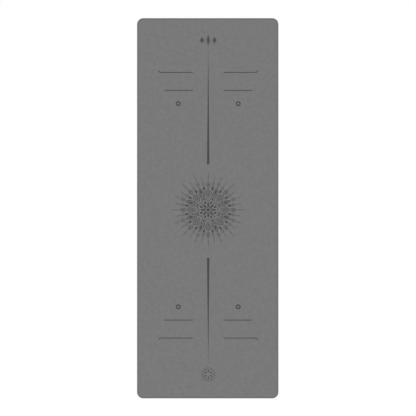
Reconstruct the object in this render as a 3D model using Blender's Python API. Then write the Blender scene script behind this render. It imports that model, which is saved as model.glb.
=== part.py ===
# A yoga mat, laid flat: a polyurethane grip skin with engraved guide marks, a non-woven carrier
# cloth and a natural rubber base, laminated and then die-cut to one outline.
# X runs across the mat, +Y points to its head end and +Z is up. The origin is on the floor, under
# the middle of the mat. All lengths are in metres.

import math

import bmesh
import bpy

# Outline that all three layers share
MAT_LENGTH = 1.830
MAT_WIDTH = 0.680
CORNER_RADIUS = 0.030
CORNER_STEPS = 8

# Layers, from the floor up. The glue line is the film of adhesive between two layers, left open.
RUBBER_THICKNESS = 0.0032
CLOTH_THICKNESS = 0.0004
SKIN_THICKNESS = 0.0008
GLUE_LINE = 0.0003

# Engraving. The marks lie a little to one side of the mat's middle, as the blank lay under the laser.
ENGRAVING_DEPTH = 0.00025
ENGRAVING_SHIFT = 0.0024
CUT_OVERRUN = 0.001

# Mandala: a rosette between the two wedges of the centre line
MANDALA_RADIUS = 0.188
MANDALA_SHIFT = 0.0075

# Centre line: two long wedges whose thick ends face the mandala
WEDGE_WIDTH = 0.0118
WEDGE_TIP_WIDTH = 0.0006
HEAD_WEDGE_CLEARANCE = 0.0307
FOOT_WEDGE_CLEARANCE = 0.0431
TIP_CLEARANCE = 0.014

# Head emblem: three lozenges in a row
EMBLEM_INSET = 0.106
EMBLEM_WIDTH = 0.082
EMBLEM_GAP = 0.010
MIDDLE_LOZENGE_WIDTH = 0.018
MIDDLE_LOZENGE_HEIGHT = 0.060
SIDE_LOZENGE_HEIGHT = 0.0344

# Foot badge: a small rosette inside a ring
BADGE_INSET = 0.116
BADGE_RADIUS = 0.0322
BADGE_RING_STEPS = 24

# Hand and foot guides. Each quarter has a long line with a tick at its outer end, a short line and a ring.
LINE_WIDTH = 0.0041
LINE_INNER_OFFSET = 0.074
LINE_SIDE_INSET = 0.107
SHORT_LINE_SETBACK = 0.0232
HEAD_LINE_INSET = 0.261
FOOT_LINE_INSET = 0.2902
LINE_SPACING = 0.0865
TICK_LENGTH = 0.012
GUIDE_RING_OFFSET = 0.1443
GUIDE_RING_SPACING = 0.064
GUIDE_RING_RADIUS = 0.012
GUIDE_RING_WIDTH = 0.0064
GUIDE_RING_STEPS = 18

# Half outlines of the rosettes' motifs, as shares of their length along the spoke and of their half width
LEAF_SHARES = ((0.0, 0.0), (0.22, 0.70), (0.48, 1.0), (0.76, 0.62), (1.0, 0.0))
DROP_SHARES = ((0.0, 0.0), (0.45, 0.55), (0.72, 1.0), (0.92, 0.75), (1.0, 0.0))
LOZENGE_SHARES = ((0.0, 0.0), (0.5, 1.0), (1.0, 0.0))
KITE_SHARES = ((0.0, 0.0), (0.14, 1.0), (1.0, 0.0))
PROFILE_SHARES = {
    "leaf": LEAF_SHARES,
    "petal": LEAF_SHARES,
    "drop": DROP_SHARES,
    "lozenge": LOZENGE_SHARES,
    "kite": KITE_SHARES,
}

# A petal is a leaf drawn as a line, and a dot is a small disc
PETAL_LINE_WIDTH = 0.0028
DOT_STEPS = 8

# Bands of a rosette, as shares of its radius. Each has its motif, how many there are, its turn as a
# share of the pitch, and its inner radius, outer radius and half width.
MANDALA_BAND_SHARES = (
    ("dot", 1, 0.0, -0.043, 0.043, 0.043),
    ("lozenge", 8, 0.5, 0.054, 0.106, 0.012),
    ("leaf", 8, 0.0, 0.068, 0.210, 0.026),
    ("drop", 8, 0.5, 0.136, 0.231, 0.028),
    ("petal", 8, 0.0, 0.226, 0.553, 0.110),
    ("petal", 8, 0.0, 0.303, 0.495, 0.056),
    ("lozenge", 8, 0.0, 0.359, 0.436, 0.018),
    ("leaf", 8, 0.5, 0.247, 0.330, 0.019),
    ("petal", 8, 0.5, 0.351, 0.628, 0.058),
    ("leaf", 8, 0.5, 0.410, 0.569, 0.025),
    ("drop", 16, 0.5, 0.481, 0.601, 0.029),
    ("petal", 16, 0.5, 0.609, 0.713, 0.033),
    ("petal", 8, 0.0, 0.566, 0.734, 0.051),
    ("lozenge", 8, 0.0, 0.604, 0.676, 0.016),
    ("petal", 8, 0.5, 0.641, 0.766, 0.041),
    ("lozenge", 8, 0.5, 0.673, 0.715, 0.010),
    ("lozenge", 16, 0.5, 0.723, 0.758, 0.010),
    ("kite", 8, 0.0, 0.750, 1.000, 0.0066),
    ("kite", 8, 0.5, 0.782, 0.947, 0.0064),
    ("kite", 16, 0.5, 0.769, 0.883, 0.0060),
)
BADGE_BAND_SHARES = (
    ("leaf", 6, 0.0, 0.236, 0.833, 0.088),
    ("drop", 6, 0.5, 0.566, 0.849, 0.066),
    ("ring", 1, 0.0, 0.937, 1.000, 0.0),
)

RUBBER_TOP = RUBBER_THICKNESS
CLOTH_BOTTOM = RUBBER_TOP + GLUE_LINE
CLOTH_TOP = CLOTH_BOTTOM + CLOTH_THICKNESS
SKIN_BOTTOM = CLOTH_TOP + GLUE_LINE
SKIN_TOP = SKIN_BOTTOM + SKIN_THICKNESS

HEAD_END = MAT_LENGTH / 2
FOOT_END = -MAT_LENGTH / 2


def clear_scene():
    for item in list(bpy.data.objects):
        bpy.data.objects.remove(item)


def make_material(name, colour, roughness):
    material = bpy.data.materials.new(name)
    material.use_nodes = True
    shader = material.node_tree.nodes["Principled BSDF"]
    shader.inputs["Base Color"].default_value = (*colour, 1.0)
    shader.inputs["Roughness"].default_value = roughness
    shader.inputs["Metallic"].default_value = 0.0
    return material


def make_object(name, mesh, material):
    """A named object from a bmesh, with its normals facing out."""
    bmesh.ops.recalc_face_normals(mesh, faces=mesh.faces)
    data = bpy.data.meshes.new(name)
    mesh.to_mesh(data)
    mesh.free()
    data.materials.append(material)
    item = bpy.data.objects.new(name, data)
    bpy.context.collection.objects.link(item)
    return item


def arc(centre, radius, start, sweep, steps):
    """Points along an arc, both ends included, with the angles in radians."""
    angles = [start + sweep * step / steps for step in range(steps + 1)]
    return [(centre[0] + radius * math.cos(a), centre[1] + radius * math.sin(a)) for a in angles]


def circle(centre, radius, steps):
    return arc(centre, radius, 0.0, math.tau, steps)[:-1]


def mat_outline():
    """The die-cut outline, with its four round corners."""
    quarter = math.pi / 2
    across = MAT_WIDTH / 2 - CORNER_RADIUS
    along = MAT_LENGTH / 2 - CORNER_RADIUS
    corners = ((across, along), (-across, along), (-across, -along), (across, -along))
    points = []
    for number, corner in enumerate(corners):
        points += arc(corner, CORNER_RADIUS, number * quarter, quarter, CORNER_STEPS)
    return points


def join_loops(mesh, first, second):
    """A wall of quads between two loops of vertices."""
    for number in range(len(first)):
        after = (number + 1) % len(first)
        mesh.faces.new((first[number], first[after], second[after], second[number]))


def add_prism(mesh, outline, bottom, top):
    """A closed solid over one outline."""
    floor = [mesh.verts.new((x, y, bottom)) for x, y in outline]
    roof = [mesh.verts.new((x, y, top)) for x, y in outline]
    mesh.faces.new(floor)
    mesh.faces.new(roof)
    join_loops(mesh, floor, roof)


def add_ring_prism(mesh, outer, inner, bottom, top):
    """A closed solid between an outer and an inner outline, which have as many points each."""
    loops = []
    for outline, level in ((outer, bottom), (outer, top), (inner, top), (inner, bottom)):
        loops.append([mesh.verts.new((x, y, level)) for x, y in outline])
    for number, loop in enumerate(loops):
        join_loops(mesh, loop, loops[(number + 1) % len(loops)])


def make_layer(name, bottom, top, material):
    mesh = bmesh.new()
    add_prism(mesh, mat_outline(), bottom, top)
    return make_object(name, mesh, material)


def engrave(mesh, outline):
    """A cutter over one outline, from the engraving's floor to above the skin."""
    add_prism(mesh, outline, SKIN_TOP - ENGRAVING_DEPTH, SKIN_TOP + CUT_OVERRUN)


def engrave_ring(mesh, outer, inner):
    """A cutter for a line that closes on itself, between its outer and inner edges."""
    add_ring_prism(mesh, outer, inner, SKIN_TOP - ENGRAVING_DEPTH, SKIN_TOP + CUT_OVERRUN)


def mirror_profile(shares, inner, outer, half_width):
    """A motif's outline in its spoke's frame, from the half outline on one side of the spoke."""
    side = [(inner + (outer - inner) * along, half_width * across) for along, across in shares]
    other = [(radius, -offset) for radius, offset in reversed(side) if offset > 0]
    return side + other


def slant(width, run, climb):
    """How far an edge that climbs over that run reaches along the spoke across a line of that width."""
    return width * math.hypot(run, climb) / climb


def petal_inside(inner, outer, half_width):
    """The inner edge of a petal's line, which is about as wide at the petal's ends as at its sides."""
    length = outer - inner
    (base_along, base_across), (tip_along, tip_across) = LEAF_SHARES[1], LEAF_SHARES[-2]
    base = slant(PETAL_LINE_WIDTH, base_along * length, base_across * half_width)
    tip = slant(PETAL_LINE_WIDTH, (1 - tip_along) * length, tip_across * half_width)
    return mirror_profile(LEAF_SHARES, inner + base, outer - tip, half_width - PETAL_LINE_WIDTH)


def motif_outline(motif, inner, outer, half_width):
    if motif == "dot":
        return circle(((inner + outer) / 2, 0.0), half_width, DOT_STEPS)
    return mirror_profile(PROFILE_SHARES[motif], inner, outer, half_width)


def place(outline, angle, centre):
    """Turns an outline from its spoke's frame to the spoke's angle about the rosette's centre."""
    cos, sin = math.cos(angle), math.sin(angle)
    return [(centre[0] + u * cos - v * sin, centre[1] + u * sin + v * cos) for u, v in outline]


def engrave_motif(mesh, motif, size, angle, centre):
    """One motif of a rosette. Its size is its inner radius, outer radius and half width."""
    outline = place(motif_outline(motif, *size), angle, centre)
    if motif == "petal":
        engrave_ring(mesh, outline, place(petal_inside(*size), angle, centre))
    else:
        engrave(mesh, outline)


def engrave_rosette(mesh, centre, radius, bands):
    """Rings and bands of motifs about a centre. The first spoke points to the head end."""
    for motif, count, turn, *shares in bands:
        size = [share * radius for share in shares]
        if motif == "ring":
            inner, outer = (circle(centre, edge, BADGE_RING_STEPS) for edge in size[:2])
            engrave_ring(mesh, outer, inner)
            continue
        for number in range(count):
            angle = math.pi / 2 + math.tau * (number + turn) / count
            engrave_motif(mesh, motif, size, angle, centre)


def engrave_wedge(mesh, thick_end, tip):
    """One half of the centre line, between its two ends along the mat."""
    right = [(WEDGE_WIDTH / 2, thick_end), (WEDGE_TIP_WIDTH / 2, tip)]
    left = [(-across, along) for across, along in reversed(right)]
    engrave(mesh, [(ENGRAVING_SHIFT + across, along) for across, along in right + left])


def engrave_lozenge(mesh, x, y, width, height):
    engrave(mesh, [(x - width / 2, y), (x, y - height / 2), (x + width / 2, y), (x, y + height / 2)])


def engrave_emblem(mesh, y):
    """A tall lozenge between two shorter ones."""
    side_width = (EMBLEM_WIDTH - MIDDLE_LOZENGE_WIDTH) / 2 - EMBLEM_GAP
    offset = (EMBLEM_WIDTH - side_width) / 2
    engrave_lozenge(mesh, ENGRAVING_SHIFT, y, MIDDLE_LOZENGE_WIDTH, MIDDLE_LOZENGE_HEIGHT)
    for side in (-1, 1):
        engrave_lozenge(mesh, ENGRAVING_SHIFT + side * offset, y, side_width, SIDE_LOZENGE_HEIGHT)


def engrave_long_line(mesh, side, end, y, outer):
    """A line whose tick slants at 45 degrees, outwards and towards the mat's end."""
    half = LINE_WIDTH / 2
    tick_run = TICK_LENGTH * math.sqrt(0.5)
    across_tick = LINE_WIDTH * math.sqrt(0.5)
    local = [
        (LINE_INNER_OFFSET, -half),
        (outer, -half),
        (outer + tick_run, tick_run - half),
        (outer + tick_run - across_tick, tick_run - half + across_tick),
        (outer - across_tick / 2, half),
        (LINE_INNER_OFFSET, half),
    ]
    engrave(mesh, [(ENGRAVING_SHIFT + side * across, y + end * along) for across, along in local])


def engrave_short_line(mesh, side, y, outer):
    half = LINE_WIDTH / 2
    local = [(LINE_INNER_OFFSET, -half), (outer, -half), (outer, half), (LINE_INNER_OFFSET, half)]
    engrave(mesh, [(ENGRAVING_SHIFT + side * across, y + along) for across, along in local])


def engrave_guides(mesh, end, inset):
    """The guides at one end of the mat: end is 1 at the head and -1 at the foot."""
    long_outer = MAT_WIDTH / 2 - LINE_SIDE_INSET
    short_outer = long_outer - SHORT_LINE_SETBACK
    long_y = end * (MAT_LENGTH / 2 - inset)
    short_y = long_y - end * LINE_SPACING
    ring_y = short_y - end * GUIDE_RING_SPACING
    for side in (-1, 1):
        engrave_long_line(mesh, side, end, long_y, long_outer)
        engrave_short_line(mesh, side, short_y, short_outer)
        centre = (ENGRAVING_SHIFT + side * GUIDE_RING_OFFSET, ring_y)
        outside = circle(centre, GUIDE_RING_RADIUS, GUIDE_RING_STEPS)
        inside = circle(centre, GUIDE_RING_RADIUS - GUIDE_RING_WIDTH, GUIDE_RING_STEPS)
        engrave_ring(mesh, outside, inside)


def make_engraving_cutter(material):
    """Every mark on the skin, as separate solids that don't touch each other."""
    mesh = bmesh.new()
    mandala_centre = (ENGRAVING_SHIFT, -MANDALA_SHIFT)
    badge_centre = (ENGRAVING_SHIFT, FOOT_END + BADGE_INSET)
    emblem_y = HEAD_END - EMBLEM_INSET
    engrave_rosette(mesh, mandala_centre, MANDALA_RADIUS, MANDALA_BAND_SHARES)
    engrave_rosette(mesh, badge_centre, BADGE_RADIUS, BADGE_BAND_SHARES)
    engrave_emblem(mesh, emblem_y)
    head_thick_end = mandala_centre[1] + MANDALA_RADIUS + HEAD_WEDGE_CLEARANCE
    foot_thick_end = mandala_centre[1] - MANDALA_RADIUS - FOOT_WEDGE_CLEARANCE
    engrave_wedge(mesh, head_thick_end, emblem_y - MIDDLE_LOZENGE_HEIGHT / 2 - TIP_CLEARANCE)
    engrave_wedge(mesh, foot_thick_end, badge_centre[1] + BADGE_RADIUS + TIP_CLEARANCE)
    engrave_guides(mesh, 1, HEAD_LINE_INSET)
    engrave_guides(mesh, -1, FOOT_LINE_INSET)
    cutter = make_object("engraving_cutter", mesh, material)
    cutter.hide_render = True
    cutter.display_type = "WIRE"
    return cutter


def make_grip_skin():
    """The skin that hands and feet meet, with the marks engraved part of the way through it."""
    skin_grey = make_material("grey_polyurethane", (0.195, 0.195, 0.195), 0.75)
    engraved_grey = make_material("engraved_polyurethane", (0.072, 0.072, 0.072), 0.85)
    skin = make_layer("grip_skin", SKIN_BOTTOM, SKIN_TOP, skin_grey)
    cut = skin.modifiers.new("engraving", "BOOLEAN")
    cut.operation = "DIFFERENCE"
    cut.solver = "EXACT"
    cut.material_mode = "TRANSFER"
    cut.object = make_engraving_cutter(engraved_grey)


def make_carrier_cloth():
    """The non-woven cloth that carries the skin and keeps the mat from stretching."""
    material = make_material("polyester_felt", (0.09, 0.09, 0.088), 0.95)
    make_layer("carrier_cloth", CLOTH_BOTTOM, CLOTH_TOP, material)


def make_rubber_base():
    """The foamed natural rubber that lies on the floor."""
    material = make_material("natural_rubber", (0.020, 0.020, 0.021), 0.9)
    make_layer("rubber_base", 0.0, RUBBER_TOP, material)


clear_scene()
make_rubber_base()
make_carrier_cloth()
make_grip_skin()
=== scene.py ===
# A yoga mat laid flat on a pale studio floor, seen from straight above. It is a laminate of foamed
# natural rubber, a non-woven carrier and a polyurethane skin, stamped out in one stroke and then
# engraved by laser with a centre line, hand and foot guides, a rosette and two small emblems.
# Lengths are in metres. X runs across the mat, +Y points to its head end and the floor is at zero.

import math

import bmesh
import bpy
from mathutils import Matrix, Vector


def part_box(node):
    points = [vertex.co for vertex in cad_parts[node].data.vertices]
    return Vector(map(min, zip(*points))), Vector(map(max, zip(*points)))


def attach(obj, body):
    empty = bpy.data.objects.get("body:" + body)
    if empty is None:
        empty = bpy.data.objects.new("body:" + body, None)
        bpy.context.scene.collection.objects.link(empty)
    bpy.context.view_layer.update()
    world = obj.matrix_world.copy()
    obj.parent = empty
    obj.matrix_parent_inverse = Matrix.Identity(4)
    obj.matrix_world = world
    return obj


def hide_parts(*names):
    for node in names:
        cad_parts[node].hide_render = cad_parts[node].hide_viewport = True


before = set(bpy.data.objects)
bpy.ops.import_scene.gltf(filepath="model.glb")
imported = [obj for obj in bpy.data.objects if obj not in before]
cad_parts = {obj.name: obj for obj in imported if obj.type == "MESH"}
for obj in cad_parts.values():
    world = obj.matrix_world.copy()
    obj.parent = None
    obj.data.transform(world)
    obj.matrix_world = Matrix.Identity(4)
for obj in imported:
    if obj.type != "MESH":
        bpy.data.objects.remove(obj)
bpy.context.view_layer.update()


# Natural rubber base. It is foamed, rolled out against a cylinder that moulds diamond studs into its
# underside, and stamped out with the rest of the laminate. The studs run out over the edge, and the
# cut wall shows the foam's cells and bows in a little, as the foam sprang back under the knife.

HALF_WIDTH, HALF_LENGTH, RUBBER_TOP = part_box("rubber_base")[1]
CORNER_RADIUS = 0.030
CORNER_STEPS = 24
FOOT_BEVEL = 0.00025
WALL_BOW = 0.00018
WALL_STEPS = 8
KNIFE_OVERRUN = 0.001
STUD_HALF_WIDTH = 0.0056
STUD_HALF_LENGTH = 0.0072
STUD_FACE_SHARE = 0.76
SPARE_STUDS = 3
GROOVE_DEPTH = 0.0005
STUD_SHARP_ANGLE = math.radians(15)
WELD_DISTANCE = 0.000002

RUBBER_BLACK = (0.017, 0.017, 0.018, 1.0)
RUBBER_GREY = (0.029, 0.029, 0.030, 1.0)
# The colour of the cells' insides on the cut face is painted shade in the pores.
CELL_SHADE_BLACK = (0.007, 0.007, 0.007, 1.0)
RUBBER_CLOUD_SIZE = 0.018
RUBBER_CLOUD_LIMITS = (0.35, 0.65)
FOAM_CELL_SIZE = 0.00034
FOAM_CELL_LIMITS = (0.28, 0.62)
FOAM_CELL_DEPTH = 0.00008
MOULD_GRAIN_SIZE = 0.0007
MOULD_GRAIN_DEPTH = 0.00003
CUT_FACE_LEVELS = (GROOVE_DEPTH, 1.4 * GROOVE_DEPTH)
RUBBER_ROUGHNESS = 0.78
GRAIN_ROUGHNESS = 0.16
CUT_ROUGHNESS = 0.06
RUBBER_SPECULAR = 0.35
SOFT_DETAIL = 2.0
FINE_DETAIL = 3.0


class Wire:
    """A node's output. Arithmetic on it adds Math nodes, and node() adds any other kind."""

    def __init__(self, tree, socket=None):
        self.tree = tree
        self.socket = socket

    def node(self, kind, settings=None, inputs=None):
        """Adds a node: first its settings, then its inputs, by name or by number."""
        added = self.tree.nodes.new(kind)
        for name, value in (settings or {}).items():
            setattr(added, name, value)
        for key, value in (inputs or {}).items():
            socket = added.inputs[key] if isinstance(key, int) else socket_in_use(added.inputs, key)
            for item in value if isinstance(value, list) else [value]:
                if isinstance(item, Wire):
                    self.tree.links.new(item.socket, socket)
                else:
                    socket.default_value = item
        return Wire(self.tree, socket_in_use(added.outputs) if added.outputs else None)

    def pick(self, name):
        """Another output of the same node."""
        return Wire(self.tree, socket_in_use(self.socket.node.outputs, name))

    def math(self, operation, *values):
        return self.node("ShaderNodeMath", {"operation": operation}, dict(enumerate(values)))

    def __add__(self, other):
        return self.math("ADD", self, other)

    def __radd__(self, other):
        return self.math("ADD", other, self)

    def __sub__(self, other):
        return self.math("SUBTRACT", self, other)

    def __rsub__(self, other):
        return self.math("SUBTRACT", other, self)

    def __mul__(self, other):
        return self.math("MULTIPLY", self, other)

    def __rmul__(self, other):
        return self.math("MULTIPLY", other, self)

    def __truediv__(self, other):
        return self.math("DIVIDE", self, other)

    def __rtruediv__(self, other):
        return self.math("DIVIDE", other, self)


def socket_in_use(sockets, name=None):
    """The first enabled socket, or the first enabled one of that name."""
    return next(socket for socket in sockets if socket.enabled and name in (None, socket.name))


def start_finish(name):
    """A material and its Object coordinates."""
    material = bpy.data.materials.new(name)
    material.use_nodes = True
    material.node_tree.nodes.clear()
    return material, Wire(material.node_tree).node("ShaderNodeTexCoord").pick("Object")


def end_finish(place, inputs):
    shader = place.node("ShaderNodeBsdfPrincipled", {}, inputs)
    place.node("ShaderNodeOutputMaterial", {}, {"Surface": shader})


def along_axis(place, axis):
    """One coordinate of a place, as a number."""
    return place.node("ShaderNodeSeparateXYZ", {}, {"Vector": place}).pick(axis)


def cloud(place, size, detail=SOFT_DETAIL):
    """Soft noise about one half, with features of that size."""
    return place.node("ShaderNodeTexNoise", {}, {"Vector": place, "Scale": 1 / size, "Detail": detail})


def cells(place, size, feature="F1"):
    """The distance from the middle, or from the border, of cells of that size."""
    return place.node("ShaderNodeTexVoronoi", {"feature": feature}, {"Vector": place, "Scale": 1 / size})


def rise(value, low, high):
    """0 up to the low value, 1 from the high one, and a soft step between them."""
    limits = {"Value": value, "From Min": low, "From Max": high}
    return value.node("ShaderNodeMapRange", {"interpolation_type": "SMOOTHSTEP"}, limits)


def blend(share, first, second):
    """A colour that goes from the first to the second with the share."""
    return share.node("ShaderNodeMix", {"data_type": "RGBA"}, {"Factor": share, "A": first, "B": second})


def relief(height, depth, under=None):
    """The normal of a surface that a pattern raises by up to that depth."""
    inputs = {"Height": height, "Strength": 1.0, "Distance": depth}
    if under:
        inputs["Normal"] = under
    return height.node("ShaderNodeBump", {}, inputs)


def start_tree(name, inputs):
    """A Geometry Nodes tree with its named inputs, and the wire of its geometry."""
    tree = bpy.data.node_groups.new(name, "GeometryNodeTree")
    for label, kind in {"Geometry": "Geometry", **inputs}.items():
        tree.interface.new_socket(label, in_out="INPUT", socket_type="NodeSocket" + kind)
    tree.interface.new_socket("Geometry", in_out="OUTPUT", socket_type="NodeSocketGeometry")
    return tree, Wire(tree).node("NodeGroupInput")


def end_tree(shape, material):
    """Ends a tree in real, welded geometry with its material."""
    real = shape.node("GeometryNodeRealizeInstances", {}, {"Geometry": shape})
    welded = shape.node("GeometryNodeMergeByDistance", {}, {"Geometry": real, "Distance": WELD_DISTANCE})
    coated = shape.node("GeometryNodeSetMaterial", {}, {"Geometry": welded, "Material": material})
    shape.node("NodeGroupOutput", {}, {"Geometry": coated})


def add_object(name, mesh):
    item = bpy.data.objects.new(name, mesh)
    bpy.context.scene.collection.objects.link(item)
    return item


def settle(item):
    """Turns what an object's modifiers show into its plain mesh, all of one material."""
    shown = item.evaluated_get(bpy.context.evaluated_depsgraph_get())
    plain = bpy.data.meshes.new_from_object(shown)
    item.modifiers.clear()
    item.data = plain
    used = [material for material in plain.materials if material]
    plain.materials.clear()
    if used:
        plain.materials.append(used[0])
    return item


def run_tree(item, tree, values):
    """Runs a Geometry Nodes tree on an object with those input values."""
    modifier = item.modifiers.new(tree.name, "NODES")
    modifier.node_group = tree
    for socket in tree.interface.items_tree:
        if socket.in_out == "INPUT" and socket.name in values:
            modifier[socket.identifier] = values[socket.name]
    return settle(item)


def take_mesh(name, shape):
    """Turns a bmesh into a mesh."""
    mesh = bpy.data.meshes.new(name)
    shape.to_mesh(mesh)
    shape.free()
    return mesh


def take_solid(name, shape):
    """Turns a closed bmesh into a mesh with its faces outwards."""
    bmesh.ops.recalc_face_normals(shape, faces=shape.faces)
    return take_mesh(name, shape)


def shade(item, sharp_angle):
    """Smooth shading, apart from the edges that turn by more than an angle."""
    item.data.shade_smooth()
    item.data.set_sharp_from_angle(angle=sharp_angle)


def die_cut_outline(inset):
    """The mat's outline, moved inwards. It runs anticlockwise."""
    radius = CORNER_RADIUS - inset
    across = HALF_WIDTH - CORNER_RADIUS
    along = HALF_LENGTH - CORNER_RADIUS
    points = []
    for corner, (x, y) in enumerate(((across, along), (-across, along), (-across, -along), (across, -along))):
        for step in range(CORNER_STEPS + 1):
            turn = math.pi / 2 * (corner + step / CORNER_STEPS)
            points.append((x + radius * math.cos(turn), y + radius * math.sin(turn)))
    return points


def stamped_blank(levels, lid=True):
    """A solid through the outline at each inset and height, from the lowest to the highest."""
    shape = bmesh.new()
    loops = []
    for inset, height in levels:
        loops.append([shape.verts.new((x, y, height)) for x, y in die_cut_outline(inset)])
    for lower, upper in zip(loops, loops[1:]):
        for here in range(len(lower)):
            after = (here + 1) % len(lower)
            shape.faces.new((lower[here], lower[after], upper[after], upper[here]))
    shape.faces.new(loops[0][::-1])
    if lid:
        shape.faces.new(loops[-1])
    return shape


def stamp_out(name, levels, material):
    """A layer of the laminate, as its own object."""
    layer = add_object(name, take_solid(name, stamped_blank(levels)))
    layer.data.materials.append(material)
    return layer


def stud_pair():
    """Two diamond studs, of which one has its middle at a corner of the other. They face down."""
    shape = bmesh.new()
    for shift in (0, 1):
        x, y = shift * STUD_HALF_WIDTH, shift * STUD_HALF_LENGTH
        loops = []
        for share, height in ((1.0, GROOVE_DEPTH), (STUD_FACE_SHARE, 0.0)):
            across, along = STUD_HALF_WIDTH * share, STUD_HALF_LENGTH * share
            corners = ((x + across, y), (x, y + along), (x - across, y), (x, y - along))
            loops.append([shape.verts.new((*corner, height)) for corner in corners])
        border, face = loops
        for here in range(4):
            after = (here + 1) % 4
            shape.faces.new((face[here], face[after], border[after], border[here]))
        shape.faces.new(face[::-1])
    return take_mesh("stud_pair", shape)


def moulded_slab(material):
    """A slab wider than the mat, with studs all over its underside."""
    tree, pair = start_tree("stud_grid", {
        "Columns": "Int",
        "Rows": "Int",
        "Pitch Across": "Float",
        "Pitch Along": "Float",
    })
    columns, rows = pair.pick("Columns"), pair.pick("Rows")
    grid = pair.node("GeometryNodeMeshGrid", {}, {
        "Size X": (columns - 1) * pair.pick("Pitch Across"),
        "Size Y": (rows - 1) * pair.pick("Pitch Along"),
        "Vertices X": columns,
        "Vertices Y": rows,
    })
    end_tree(pair.node("GeometryNodeInstanceOnPoints", {}, {"Points": grid, "Instance": pair}), material)
    slab = run_tree(add_object("rubber_foam", stud_pair()), tree, {
        "Columns": SPARE_STUDS + math.ceil(HALF_WIDTH / STUD_HALF_WIDTH),
        "Rows": SPARE_STUDS + math.ceil(HALF_LENGTH / STUD_HALF_LENGTH),
        "Pitch Across": 2 * STUD_HALF_WIDTH,
        "Pitch Along": 2 * STUD_HALF_LENGTH,
    })
    shape = bmesh.new()
    shape.from_mesh(slab.data)
    rim = [edge for edge in shape.edges if edge.is_boundary]
    raised = bmesh.ops.extrude_edge_only(shape, edges=rim)["geom"]
    for vertex in raised:
        if isinstance(vertex, bmesh.types.BMVert):
            vertex.co.z = RUBBER_TOP + KNIFE_OVERRUN
    bmesh.ops.edgeloop_fill(shape, edges=[edge for edge in shape.edges if edge.is_boundary])
    slab.data = take_solid("rubber_foam", shape)
    slab.data.materials.append(material)
    return slab


def rubber_wall():
    """Insets and heights up the cut wall: the bevel at its foot, then the bow."""
    levels = [(FOOT_BEVEL, -KNIFE_OVERRUN), (FOOT_BEVEL, 0.0)]
    for step in range(WALL_STEPS + 1):
        share = step / WALL_STEPS
        bow = 4 * share * (1 - share)
        levels.append((WALL_BOW * bow, FOOT_BEVEL + (RUBBER_TOP - FOOT_BEVEL) * share))
    return levels


def rubber_finish():
    material, place = start_finish("black_foam_rubber")
    cut = rise(along_axis(place, "Z"), *CUT_FACE_LEVELS)
    walls = rise(cells(place, FOAM_CELL_SIZE), *FOAM_CELL_LIMITS)
    clouds = rise(cloud(place, RUBBER_CLOUD_SIZE), *RUBBER_CLOUD_LIMITS)
    grain = cloud(place, MOULD_GRAIN_SIZE, FINE_DETAIL)
    # On the cut face the insides of the foam's cells are painted darker, as painted shade in the pores.
    end_finish(place, {
        "Base Color": blend(cut * (1 - walls), blend(clouds, RUBBER_BLACK, RUBBER_GREY), CELL_SHADE_BLACK),
        "Roughness": RUBBER_ROUGHNESS + GRAIN_ROUGHNESS * grain + CUT_ROUGHNESS * cut,
        "Normal": relief(walls * cut, FOAM_CELL_DEPTH, relief(grain, MOULD_GRAIN_DEPTH)),
        "Specular IOR Level": RUBBER_SPECULAR,
    })
    return material


foam_rubber = rubber_finish()
rubber_foam = moulded_slab(foam_rubber)
rubber_blank = stamp_out("rubber_blank", rubber_wall(), foam_rubber)
stamping = rubber_foam.modifiers.new("stamping", "BOOLEAN")
stamping.operation = "INTERSECT"
stamping.solver = "MANIFOLD"
stamping.object = rubber_blank
settle(rubber_foam)
bpy.data.objects.remove(rubber_blank)
shade(rubber_foam, STUD_SHARP_ANGLE)
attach(rubber_foam, "root")
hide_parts("rubber_base")


# Adhesive films. A flexible laminating adhesive, rolled on hot, bonds the carrier cloth to the rubber
# and the skin to the cloth. It shows only as two thin dark lines in the cut edge, a little set back.

CLOTH_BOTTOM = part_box("carrier_cloth")[0].z
CLOTH_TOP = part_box("carrier_cloth")[1].z
SKIN_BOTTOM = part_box("grip_skin")[0].z
SKIN_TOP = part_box("grip_skin")[1].z
ADHESIVE_SETBACK = 0.00014
ADHESIVE_HOLLOW = 0.00022
WALL_SHARP_ANGLE = math.radians(28)

ADHESIVE_DARK = (0.026, 0.026, 0.025, 1.0)
ADHESIVE_CLEAR = (0.044, 0.044, 0.042, 1.0)
ADHESIVE_RIPPLE_SIZE = 0.0012
ADHESIVE_RIPPLE_DEPTH = 0.00003
ADHESIVE_ROUGHNESS = 0.38
RIPPLE_ROUGHNESS = 0.3


def adhesive_finish():
    material, place = start_finish("laminating_adhesive")
    ripple = cloud(place, ADHESIVE_RIPPLE_SIZE)
    end_finish(place, {
        "Base Color": blend(ripple, ADHESIVE_DARK, ADHESIVE_CLEAR),
        "Roughness": ADHESIVE_ROUGHNESS + RIPPLE_ROUGHNESS * ripple,
        "Normal": relief(ripple, ADHESIVE_RIPPLE_DEPTH),
    })
    return material


def roll_on_adhesive(name, bottom, top, material):
    """A film whose edge is drawn in between the layers that it bonds."""
    middle = (bottom + top) / 2
    levels = ((ADHESIVE_SETBACK, bottom), (ADHESIVE_HOLLOW, middle), (ADHESIVE_SETBACK, top))
    film = stamp_out(name, levels, material)
    shade(film, WALL_SHARP_ANGLE)
    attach(film, "root")


laminating_adhesive = adhesive_finish()
roll_on_adhesive("adhesive_under_cloth", RUBBER_TOP, CLOTH_BOTTOM, laminating_adhesive)
roll_on_adhesive("adhesive_over_cloth", CLOTH_TOP, SKIN_BOTTOM, laminating_adhesive)


# Carrier cloth. A charcoal non-woven felt of polyester fibres, heat-bonded and cut to the mat's
# outline. It keeps the mat from stretching, and its edge shows the ends of the fibres.

CLOTH_EDGE_ROUND = 0.00008

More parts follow.
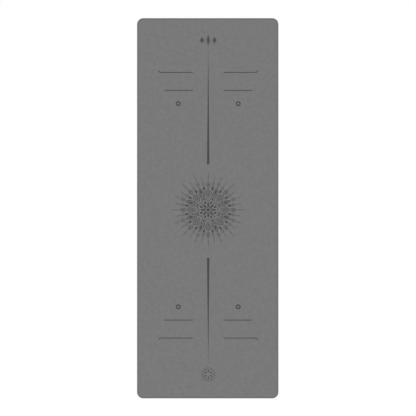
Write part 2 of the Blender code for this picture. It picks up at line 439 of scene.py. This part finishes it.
FIBRE_DARK = (0.050, 0.050, 0.049, 1.0)
FIBRE_PALE = (0.145, 0.145, 0.141, 1.0)
FIBRE_STRETCH = (0.12, 0.12, 1.0)
FIBRE_SIZE = 0.00006
FIBRE_DEPTH = 0.00004
TUFT_SIZE = 0.0009
FIBRE_SHARE = 0.65
FELT_LIMITS = (0.32, 0.68)
FELT_ROUGHNESS = 0.86
TUFT_ROUGHNESS = 0.12
FELT_SHEEN = 0.25
FELT_SHEEN_ROUGHNESS = 0.6


def vector_maths(operation, *values):
    """A Vector Math node on vectors, of which the first is a wire."""
    return values[0].node("ShaderNodeVectorMath", {"operation": operation}, dict(enumerate(values)))


def cloth_finish():
    material, place = start_finish("polyester_felt")
    fibres = cloud(vector_maths("MULTIPLY", place, FIBRE_STRETCH), FIBRE_SIZE, FINE_DETAIL)
    tufts = cloud(place, TUFT_SIZE, FINE_DETAIL)
    paleness = rise(FIBRE_SHARE * fibres + (1 - FIBRE_SHARE) * tufts, *FELT_LIMITS)
    end_finish(place, {
        "Base Color": blend(paleness, FIBRE_DARK, FIBRE_PALE),
        "Roughness": FELT_ROUGHNESS + TUFT_ROUGHNESS * tufts,
        "Normal": relief(fibres, FIBRE_DEPTH, relief(tufts, FIBRE_DEPTH)),
        "Sheen Weight": FELT_SHEEN,
        "Sheen Roughness": FELT_SHEEN_ROUGHNESS,
    })
    return material


def cut_cloth(material):
    middle = (CLOTH_BOTTOM + CLOTH_TOP) / 2
    levels = ((CLOTH_EDGE_ROUND, CLOTH_BOTTOM), (0.0, middle), (CLOTH_EDGE_ROUND, CLOTH_TOP))
    felt = stamp_out("carrier_felt", levels, material)
    shade(felt, WALL_SHARP_ANGLE)
    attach(felt, "root")
    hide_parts("carrier_cloth")


cut_cloth(cloth_finish())


# Centre line. Two long wedges, burnt into the skin by the laser, run from the rosette towards the
# ends of the mat. Like all the marks they have a dark, matt floor a quarter of a millimetre down,
# where the heat has scorched the skin, and they lie a little to one side, as the blank lay.

ENGRAVING_DEPTH = 0.00025
ENGRAVING_SHIFT = 0.0024
SCORCH_THICKNESS = 0.0002
MANDALA_RADIUS = 0.188
MANDALA_LEVEL = -0.0075
EMBLEM_INSET = 0.106
EMBLEM_LEVEL = HALF_LENGTH - EMBLEM_INSET
EMBLEM_HALF_HEIGHT = 0.030
BADGE_INSET = 0.116
BADGE_LEVEL = BADGE_INSET - HALF_LENGTH
BADGE_RADIUS = 0.0322
WEDGE_WIDTH = 0.0118
WEDGE_TIP_WIDTH = 0.0006
HEAD_WEDGE_CLEARANCE = 0.0307
FOOT_WEDGE_CLEARANCE = 0.0431
TIP_CLEARANCE = 0.014
HEAD_WEDGE_THICK_END = MANDALA_LEVEL + MANDALA_RADIUS + HEAD_WEDGE_CLEARANCE
HEAD_WEDGE_TIP = EMBLEM_LEVEL - EMBLEM_HALF_HEIGHT - TIP_CLEARANCE
FOOT_WEDGE_THICK_END = MANDALA_LEVEL - MANDALA_RADIUS - FOOT_WEDGE_CLEARANCE
FOOT_WEDGE_TIP = BADGE_LEVEL + BADGE_RADIUS + TIP_CLEARANCE

SCORCH_DARK = (0.047, 0.047, 0.047, 1.0)
SCORCH_PALE = (0.071, 0.071, 0.071, 1.0)
SCAN_LINE_PITCH = 0.00018
SCAN_LINE_DEPTH = 0.00002
SOOT_SIZE = 0.004
CHAR_SIZE = 0.0003
CHAR_SHARE = 0.6
SCORCH_LIMITS = (0.3, 0.7)
SCORCH_ROUGHNESS = 0.80
CHAR_ROUGHNESS = 0.15
SCORCH_SPECULAR = 0.3

laser_paths = []


def engraving_finish():
    material, place = start_finish("scorched_polyurethane")
    scan_lines = place.math("SINE", along_axis(place, "Y") * (math.tau / SCAN_LINE_PITCH))
    char = cloud(place, CHAR_SIZE, FINE_DETAIL)
    soot = cloud(place, SOOT_SIZE)
    paleness = rise(CHAR_SHARE * char + (1 - CHAR_SHARE) * soot, *SCORCH_LIMITS)
    end_finish(place, {
        "Base Color": blend(paleness, SCORCH_DARK, SCORCH_PALE),
        "Roughness": SCORCH_ROUGHNESS + CHAR_ROUGHNESS * char,
        "Normal": relief(scan_lines, SCAN_LINE_DEPTH, relief(char, SCAN_LINE_DEPTH)),
        "Specular IOR Level": SCORCH_SPECULAR,
    })
    return material


def laser_floor_tree(material):
    """A thin layer over closed outlines. Where one lies in another, it leaves a hole."""
    tree, paths = start_tree("laser_floor", {"Level": "Float", "Thickness": "Float"})
    curves = paths.node("GeometryNodeMeshToCurve", {}, {"Mesh": paths})
    filled = paths.node("GeometryNodeFillCurve", {"mode": "TRIANGLES"}, {"Curve": curves})
    lift = paths.node("ShaderNodeCombineXYZ", {}, {"Z": paths.pick("Level")})
    base = paths.node("GeometryNodeSetPosition", {}, {"Geometry": filled, "Offset": lift})
    top = paths.node("GeometryNodeExtrudeMesh", {"mode": "FACES"}, {
        "Mesh": base,
        "Offset Scale": paths.pick("Thickness"),
        "Individual": False,
    })
    underside = paths.node("GeometryNodeFlipFaces", {}, {"Mesh": base})
    end_tree(paths.node("GeometryNodeJoinGeometry", {}, {"Geometry": [top, underside]}), material)
    return tree


def path_mesh(name, outlines):
    """Closed outlines as edges alone."""
    points = []
    edges = []
    for outline in outlines:
        first = len(points)
        points += [(x, y, 0.0) for x, y in outline]
        edges += [(first + here, first + (here + 1) % len(outline)) for here in range(len(outline))]
    mesh = bpy.data.meshes.new(name)
    mesh.from_pydata(points, edges, [])
    return mesh


def engrave(name, paths):
    """The scorched floor of some marks. Their paths are kept for the skin."""
    laser_paths.append(paths)
    scorch = run_tree(add_object(name, paths), laser_floor, {
        "Level": SKIN_TOP - ENGRAVING_DEPTH - SCORCH_THICKNESS,
        "Thickness": SCORCH_THICKNESS,
    })
    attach(scorch, "root")


def wedge(thick_end, tip):
    """A wedge along the mat, between two levels."""
    right = [(WEDGE_WIDTH / 2, thick_end), (WEDGE_TIP_WIDTH / 2, tip)]
    left = [(-across, along) for across, along in reversed(right)]
    return [(ENGRAVING_SHIFT + across, along) for across, along in right + left]


scorched_polyurethane = engraving_finish()
laser_floor = laser_floor_tree(scorched_polyurethane)
wedges = [wedge(HEAD_WEDGE_THICK_END, HEAD_WEDGE_TIP), wedge(FOOT_WEDGE_THICK_END, FOOT_WEDGE_TIP)]
engrave("engraved_centre_line", path_mesh("centre_line", wedges))


# Hand and foot guides. In each quarter of the mat the laser burns a long line with a tick at its
# outer end, a shorter line and a ring, as marks for the hands at one end and the feet at the other.

LINE_WIDTH = 0.0041
LINE_INNER_OFFSET = 0.074
LINE_SIDE_INSET = 0.107
SHORT_LINE_SETBACK = 0.0232
LONG_LINE_OUTER = HALF_WIDTH - LINE_SIDE_INSET
SHORT_LINE_OUTER = LONG_LINE_OUTER - SHORT_LINE_SETBACK
LINE_SPACING = 0.0865
TICK_LENGTH = 0.012
RING_OFFSET = 0.1443
RING_SPACING = 0.064
RING_RADIUS = 0.012
RING_LINE_WIDTH = 0.0064
RING_STEPS = 48
HEAD_LINE_INSET = 0.261
FOOT_LINE_INSET = 0.2902


def circle(centre, radius, steps):
    turns = [math.tau * step / steps for step in range(steps)]
    return [(centre[0] + radius * math.cos(turn), centre[1] + radius * math.sin(turn)) for turn in turns]


def long_line():
    """A line along X whose tick slants outwards and up at 45 degrees."""
    half = LINE_WIDTH / 2
    tick_run = TICK_LENGTH * math.sqrt(0.5)
    across_tick = LINE_WIDTH * math.sqrt(0.5)
    return [
        (LINE_INNER_OFFSET, -half),
        (LONG_LINE_OUTER, -half),
        (LONG_LINE_OUTER + tick_run, tick_run - half),
        (LONG_LINE_OUTER + tick_run - across_tick, tick_run - half + across_tick),
        (LONG_LINE_OUTER - across_tick / 2, half),
        (LINE_INNER_OFFSET, half),
    ]


def short_line(level):
    inner, outer = LINE_INNER_OFFSET, SHORT_LINE_OUTER
    lower, upper = level - LINE_WIDTH / 2, level + LINE_WIDTH / 2
    return [(inner, lower), (outer, lower), (outer, upper), (inner, upper)]


def guides(long_line_level):
    """The marks at one end of the mat, with the ticks towards that end."""
    end = math.copysign(1, long_line_level)
    ring_centre = (RING_OFFSET, -LINE_SPACING - RING_SPACING)
    quarter = [long_line(), short_line(-LINE_SPACING)]
    for radius in (RING_RADIUS, RING_RADIUS - RING_LINE_WIDTH):
        quarter.append(circle(ring_centre, radius, RING_STEPS))
    marks = []
    for side in (-1, 1):
        for outline in quarter:
            marks.append([(ENGRAVING_SHIFT + side * x, long_line_level + end * y) for x, y in outline])
    return marks


engrave("engraved_head_guides", path_mesh("head_guides", guides(HALF_LENGTH - HEAD_LINE_INSET)))
engrave("engraved_foot_guides", path_mesh("foot_guides", guides(FOOT_LINE_INSET - HALF_LENGTH)))


# Rosette. A mandala of rippled petals, leaves and fine rays, in eights and sixteens about the middle of
# the mat. The laser draws each petal as lines that follow its edge inwards.

SIDE_STEP_LENGTH = 0.0028
END_STEPS = 8
LEAST_RIPPLE_SHARE = 0.05
DOT_STEPS = 20
BAND_RING_STEPS = 128


def petal_side(inner, outer, half_width, base, tip):
    """One side of a petal, out along its spoke. Under 1, an end is round, and over 1 it is drawn out."""
    peak = (base / (base + tip)) ** base * (tip / (base + tip)) ** tip
    steps = END_STEPS + round((outer - inner) / SIDE_STEP_LENGTH)
    side = []
    for step in range(steps + 1):
        along = (1 - math.cos(math.pi * step / steps)) / 2
        swell = along**base * (1 - along) ** tip / peak
        side.append((inner + (outer - inner) * along, half_width * swell))
    return side


def on_spoke(first, second):
    """Where the line through two points of a side meets the spoke."""
    slope = (second[0] - first[0]) / (second[1] - first[1])
    return (first[0] - slope * first[1], 0.0)


def ripple(side, distance):
    """A side moved in towards the spoke, and ended where it meets it or comes very close."""
    moved = []
    for before, point, after in zip(side, side[1:], side[2:]):
        run, climb = after[0] - before[0], after[1] - before[1]
        length = math.hypot(run, climb)
        moved.append((point[0] + distance * climb / length, point[1] - distance * run / length))
    kept = [point for point in moved if point[1] > distance * LEAST_RIPPLE_SHARE]
    return [on_spoke(kept[0], kept[1])] + kept + [on_spoke(kept[-1], kept[-2])]


def petal(inner, outer, half_width, base=1.0, tip=1.0, ripples=()):
    """A petal's outline, and the outlines inside it at each distance from its edge."""
    side = petal_side(inner, outer, half_width, base, tip)
    sides = [side] + [ripple(side, distance) for distance in ripples]
    return [found + [(x, -y) for x, y in reversed(found[1:-1])] for found in sides]


def dot(offset, radius):
    return [circle((offset, 0.0), radius, DOT_STEPS)]


def ring(inner, outer):
    return [circle((0.0, 0.0), outer, BAND_RING_STEPS), circle((0.0, 0.0), inner, BAND_RING_STEPS)]


# Each band of the rosette has its motif, how many there are, and their turn as a share of the pitch
MANDALA_BANDS = (
    (dot(0.0, 0.0080), 1, 0.0),
    (petal(0.0102, 0.0200, 0.0025, 1.0, 0.8), 8, 0.5),
    (petal(0.0128, 0.0395, 0.0049, 0.9, 1.0), 8, 0.0),
    (petal(0.0255, 0.0435, 0.0054, 1.5, 0.6), 8, 0.5),
    (petal(0.0425, 0.1040, 0.0206, 0.8, 1.1, (0.0032,)), 8, 0.0),
    (petal(0.0570, 0.0930, 0.0106, 0.9, 1.1, (0.0032,)), 8, 0.0),
    (petal(0.0675, 0.0820, 0.0034, 1.0, 1.2), 8, 0.0),
    (petal(0.0465, 0.0620, 0.0036, 1.0, 0.6), 8, 0.5),
    (petal(0.0660, 0.1180, 0.0109, 0.9, 1.1, (0.0029,)), 8, 0.5),
    (petal(0.0770, 0.1070, 0.0048, 1.0, 1.1), 8, 0.5),
    (petal(0.0905, 0.1130, 0.0056, 1.7, 0.7), 16, 0.5),
    (petal(0.1145, 0.1340, 0.0062, 0.9, 1.2, (0.0023,)), 16, 0.5),
    (petal(0.1065, 0.1380, 0.0096, 0.8, 1.3, (0.0028,)), 8, 0.0),
    (petal(0.1135, 0.1270, 0.0030), 8, 0.0),
    (petal(0.1205, 0.1440, 0.0078, 0.8, 1.3, (0.0024,)), 8, 0.5),
    (petal(0.1265, 0.1345, 0.0019), 8, 0.5),
    (petal(0.1360, 0.1425, 0.0018, 1.2, 0.6), 16, 0.5),
    (petal(0.1445, 0.1660, 0.0011, 0.4, 1.0), 16, 0.5),
    (petal(0.1410, MANDALA_RADIUS, 0.00125, 0.4, 1.0), 8, 0.0),
    (petal(0.1470, 0.1780, 0.0012, 0.4, 1.0), 8, 0.5),
)


def spoke_ring_tree(material):
    """Turns a motif round a centre. The first spoke points to the head end."""
    tree, motif = start_tree("spoke_ring", {"Count": "Int", "Turn": "Float", "Centre": "Vector"})
    count = motif.pick("Count")
    spokes = motif.node("GeometryNodePoints", {}, {"Count": count, "Position": motif.pick("Centre")})
    number = motif.node("GeometryNodeInputIndex")
    angle = (number + motif.pick("Turn")) / count * math.tau + math.pi / 2
    turned = motif.node("GeometryNodeInstanceOnPoints", {}, {
        "Points": spokes,
        "Instance": motif,
        "Rotation": motif.node("ShaderNodeCombineXYZ", {}, {"Z": angle}),
    })
    end_tree(turned, material)
    return tree


def rosette_mesh(name, bands, level):
    """The paths of a whole rosette. Its middle is at that level along the mat."""
    centre = (ENGRAVING_SHIFT, level, 0.0)
    gathered = bmesh.new()
    for outlines, count, turn in bands:
        motif = add_object(name, path_mesh(name, outlines))
        run_tree(motif, spoke_ring, {"Count": count, "Turn": turn, "Centre": centre})
        gathered.from_mesh(motif.data)
        bpy.data.objects.remove(motif)
    return take_mesh(name, gathered)


spoke_ring = spoke_ring_tree(scorched_polyurethane)
engrave("engraved_mandala", rosette_mesh("mandala", MANDALA_BANDS, MANDALA_LEVEL))


# End marks. At the head end the laser burns three lozenges in a row, and at the foot end a small badge
# of petals inside a ring. Both are plain ornament.

# Each lozenge of the emblem has its half width, its half height and how far it lies to one side
LOZENGES = ((0.009, EMBLEM_HALF_HEIGHT, 0.0), (0.011, 0.0172, -0.030), (0.011, 0.0172, 0.030))
LOZENGE_LINES = (0.0, 0.0018, 0.0029)
BADGE_BANDS = (
    (petal(0.0076, 0.0268, 0.0028, 0.9, 1.0), 6, 0.0),
    (petal(0.0182, 0.0273, 0.0021, 1.2, 0.6), 6, 0.5),
    (ring(0.0302, BADGE_RADIUS), 1, 0.0),
)


def lozenge(half_width, half_height, shift, line):
    """A lozenge with its edges moved inwards by as much as the line."""
    share = 1 - line * math.hypot(half_width, half_height) / (half_width * half_height)
    across, along = half_width * share, half_height * share
    x, y = ENGRAVING_SHIFT + shift, EMBLEM_LEVEL
    return [(x + across, y), (x, y + along), (x - across, y), (x, y - along)]


lozenges = [lozenge(*sizes, line) for sizes in LOZENGES for line in LOZENGE_LINES]
engrave("engraved_head_emblem", path_mesh("head_emblem", lozenges))
engrave("engraved_foot_badge", rosette_mesh("foot_badge", BADGE_BANDS, BADGE_LEVEL))


# Grip skin. A sheet of matt polyurethane, cast on release paper that gives it a fine pebble grain,
# bonded to the carrier cloth and stamped out. The knife rounds its edge over and draws it down a
# little, and the laser then sinks the marks a quarter of a millimetre into it.

EDGE_ROUND = 0.00028
EDGE_DIP = 0.00014
DIP_REACH = 0.005
EDGE_STEPS = 5
DIP_STEPS = 6
SKIN_SHARP_ANGLE = math.radians(35)

SKIN_DARK = (0.1354, 0.1354, 0.1354, 1.0)
SKIN_PALE = (0.1964, 0.1964, 0.1964, 1.0)
# The crease colour is painted shade in the creases between the pebbles.
CREASE_SHADE_GREY = (0.120, 0.120, 0.120, 1.0)
# The rim colour is painted shade along the skin's rolled, dipped edge.
RIM_SHADE_GREY = (0.128, 0.128, 0.128, 1.0)
RIM_WIDTH = 0.0055
RIM_REACH = 0.0085
MOTTLE_SIZE = 0.016
PEBBLE_SIZE = 0.0011
PEBBLE_WARP = 0.0005
PEBBLE_SHOULDER = 0.36
PEBBLE_DEPTH = 0.00008
CREASE_WIDTH = 0.16
CREASE_SHADE_STRENGTH = 0.3
FINE_GRAIN_SIZE = 0.00028
FINE_GRAIN_DEPTH = 0.00002
SKIN_ROUGHNESS = 0.60
FINE_GRAIN_ROUGHNESS = 0.12
MOTTLE_ROUGHNESS = 0.06
SKIN_SPECULAR = 0.4


def rim_shade(place):
    """Painted shade of the rolled, dipped edge: 0 over most of the skin and 1 along its edge, also round the
    corners.
    """
    corner_centre = (HALF_WIDTH - CORNER_RADIUS, HALF_LENGTH - CORNER_RADIUS, 2 * SKIN_TOP)
    past_centre = vector_maths("SUBTRACT", vector_maths("ABSOLUTE", place), corner_centre)
    reach = vector_maths("LENGTH", vector_maths("MAXIMUM", past_centre, (0.0, 0.0, 0.0)))
    return rise(reach, CORNER_RADIUS - RIM_REACH, CORNER_RADIUS - RIM_WIDTH)


def skin_finish():
    material, place = start_finish("matt_polyurethane")
    sway = cloud(place, PEBBLE_SIZE).pick("Color")
    warp = vector_maths("MULTIPLY", sway, (PEBBLE_WARP,) * 3)
    border = cells(vector_maths("ADD", place, warp), PEBBLE_SIZE, "DISTANCE_TO_EDGE")
    # The creases between the pebbles are blended darker in the base colour: painted shade in them.
    crease_shade = 1 - rise(border, 0.0, CREASE_WIDTH)
    fine = cloud(place, FINE_GRAIN_SIZE)
    mottle = cloud(place, MOTTLE_SIZE, FINE_DETAIL)
    # The ground colour carries painted shade: darker along the rolled, dipped edge of the skin.
    ground = blend(rim_shade(place), blend(mottle, SKIN_DARK, SKIN_PALE), RIM_SHADE_GREY)
    end_finish(place, {
        "Base Color": blend(CREASE_SHADE_STRENGTH * crease_shade, ground, CREASE_SHADE_GREY),
        "Roughness": SKIN_ROUGHNESS + FINE_GRAIN_ROUGHNESS * fine + MOTTLE_ROUGHNESS * mottle,
        "Normal": relief(rise(border, 0.0, PEBBLE_SHOULDER), PEBBLE_DEPTH, relief(fine, FINE_GRAIN_DEPTH)),
        "Specular IOR Level": SKIN_SPECULAR,
    })
    return material


def engraved_sheet_tree(material):
    """Fills an outline, and sinks the part of it inside the marks, to hold their scorched floors."""
    tree, paths = start_tree("engraved_sheet", {"Level": "Float", "Depth": "Float"})
    is_mark = paths.node("GeometryNodeInputNamedAttribute", {"data_type": "BOOLEAN"}, {"Name": "mark"})
    everything = paths.node("GeometryNodeMeshToCurve", {}, {"Mesh": paths})
    marks = paths.node("GeometryNodeMeshToCurve", {}, {"Mesh": paths, "Selection": is_mark})
    plain = paths.node("GeometryNodeFillCurve", {"mode": "TRIANGLES"}, {"Curve": everything})
    sunk = paths.node("GeometryNodeFillCurve", {"mode": "TRIANGLES"}, {"Curve": marks})
    sunk = paths.node("GeometryNodeExtrudeMesh", {"mode": "FACES"}, {
        "Mesh": sunk,
        "Offset Scale": 0.0 - paths.pick("Depth"),
        "Individual": False,
    })
    sheet = paths.node("GeometryNodeJoinGeometry", {}, {"Geometry": [plain, sunk]})
    lift = paths.node("ShaderNodeCombineXYZ", {}, {"Z": paths.pick("Level")})
    end_tree(paths.node("GeometryNodeSetPosition", {}, {"Geometry": sheet, "Offset": lift}), material)
    return tree


def skin_paths():
    """All the marks and the border of the flat part of the skin, as edges. The attribute tells them apart."""
    gathered = bmesh.new()
    for paths in laser_paths:
        gathered.from_mesh(paths)
    mark_points = len(gathered.verts)
    gathered.from_mesh(path_mesh("flat_border", [die_cut_outline(DIP_REACH)]))
    mesh = take_mesh("skin_paths", gathered)
    is_mark = mesh.attributes.new("mark", "BOOLEAN", "POINT")
    is_mark.data.foreach_set("value", [number < mark_points for number in range(len(mesh.vertices))])
    return mesh


def rolled_edge():
    """Insets and heights up the skin's cut wall, round its edge and over the dip."""
    levels = [(0.0, SKIN_BOTTOM)]
    for step in range(EDGE_STEPS + 1):
        turn = math.pi / 2 * step / EDGE_STEPS
        drop = EDGE_DIP + EDGE_ROUND * (1 - math.sin(turn))
        levels.append((EDGE_ROUND * (1 - math.cos(turn)), SKIN_TOP - drop))
    for step in range(1, DIP_STEPS + 1):
        share = step / DIP_STEPS
        inset = EDGE_ROUND + (DIP_REACH - EDGE_ROUND) * share
        levels.append((inset, SKIN_TOP - EDGE_DIP * (1 - share) ** 2))
    return levels


def lay_skin(material):
    skin = run_tree(add_object("engraved_skin", skin_paths()), engraved_sheet_tree(material), {
        "Level": SKIN_TOP,
        "Depth": ENGRAVING_DEPTH + SCORCH_THICKNESS,
    })
    shape = stamped_blank(rolled_edge(), lid=False)
    shape.from_mesh(skin.data)
    bmesh.ops.remove_doubles(shape, verts=shape.verts, dist=WELD_DISTANCE)
    skin.data = take_solid("engraved_skin", shape)
    skin.data.materials.append(material)
    shade(skin, SKIN_SHARP_ANGLE)
    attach(skin, "root")
    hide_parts("grip_skin")


lay_skin(skin_finish())


# Studio. A white floor under an even white dome, with one broad soft lamp overhead, and the camera
# straight above the mat. The floor is there for the camera alone, so the dome lights the mat's edges
# and underside as evenly as its top, and seen from below it is clear.

FLOOR_HALF_SIZE = 8.0
FLOOR_LEVEL = -0.0004
FLOOR_WHITE = (0.9, 0.9, 0.9, 1.0)
FLOOR_SHADED_SHARE = 0.2
FLOOR_GLOW = 1.02
PURE_WHITE = (1.0, 1.0, 1.0, 1.0)
DOME_STRENGTH = 0.6
LAMP_STRENGTH = 1.34
LAMP_SPREAD = math.radians(50)
LAMP_TILT = (math.radians(2), math.radians(-14), 0.0)
CAMERA_PLACE = (0.0013, 0.0013, 4.733)
CAMERA_LENS = 85.0


def floor_finish():
    material, place = start_finish("studio_floor")
    glow = place.node("ShaderNodeEmission", {}, {"Color": PURE_WHITE, "Strength": FLOOR_GLOW})
    lit = place.node("ShaderNodeBsdfDiffuse", {}, {"Color": FLOOR_WHITE})
    above = place.node("ShaderNodeMixShader", {}, {0: FLOOR_SHADED_SHARE, 1: glow, 2: lit})
    clear = place.node("ShaderNodeBsdfTransparent")
    from_below = place.node("ShaderNodeNewGeometry").pick("Backfacing")
    shader = place.node("ShaderNodeMixShader", {}, {0: from_below, 1: above, 2: clear})
    place.node("ShaderNodeOutputMaterial", {}, {"Surface": shader})
    return material


def lay_floor():
    half = FLOOR_HALF_SIZE
    mesh = bpy.data.meshes.new("studio_floor")
    corners = [(-half, -half, FLOOR_LEVEL), (half, -half, FLOOR_LEVEL), (half, half, FLOOR_LEVEL)]
    mesh.from_pydata(corners + [(-half, half, FLOOR_LEVEL)], [], [(0, 1, 2, 3)])
    mesh.materials.append(floor_finish())
    floor = add_object("studio_floor", mesh)
    floor.visible_diffuse = False
    floor.visible_glossy = False
    floor.visible_transmission = False
    floor.visible_shadow = False


def light_dome():
    world = bpy.data.worlds.new("studio_dome")
    world.use_nodes = True
    world.node_tree.nodes.clear()
    rays = Wire(world.node_tree).node("ShaderNodeLightPath")
    seen = rays.pick("Is Camera Ray") + rays.pick("Is Glossy Ray") + rays.pick("Is Transmission Ray")
    strength = DOME_STRENGTH + (1 - DOME_STRENGTH) * seen
    dome = rays.node("ShaderNodeBackground", {}, {"Color": PURE_WHITE, "Strength": strength})
    rays.node("ShaderNodeOutputWorld", {}, {"Surface": dome})
    bpy.context.scene.world = world


def hang_lamp():
    lamp = bpy.data.lights.new("soft_lamp", "SUN")
    lamp.energy = LAMP_STRENGTH
    lamp.angle = LAMP_SPREAD
    add_object("soft_lamp", lamp).rotation_euler = LAMP_TILT


def set_camera():
    lens = bpy.data.cameras.new("camera")
    lens.lens = CAMERA_LENS
    camera = add_object("camera", lens)
    camera.location = CAMERA_PLACE
    bpy.context.scene.camera = camera


lay_floor()
light_dome()
hang_lamp()
set_camera()
bpy.context.scene.view_settings.view_transform = "Standard"
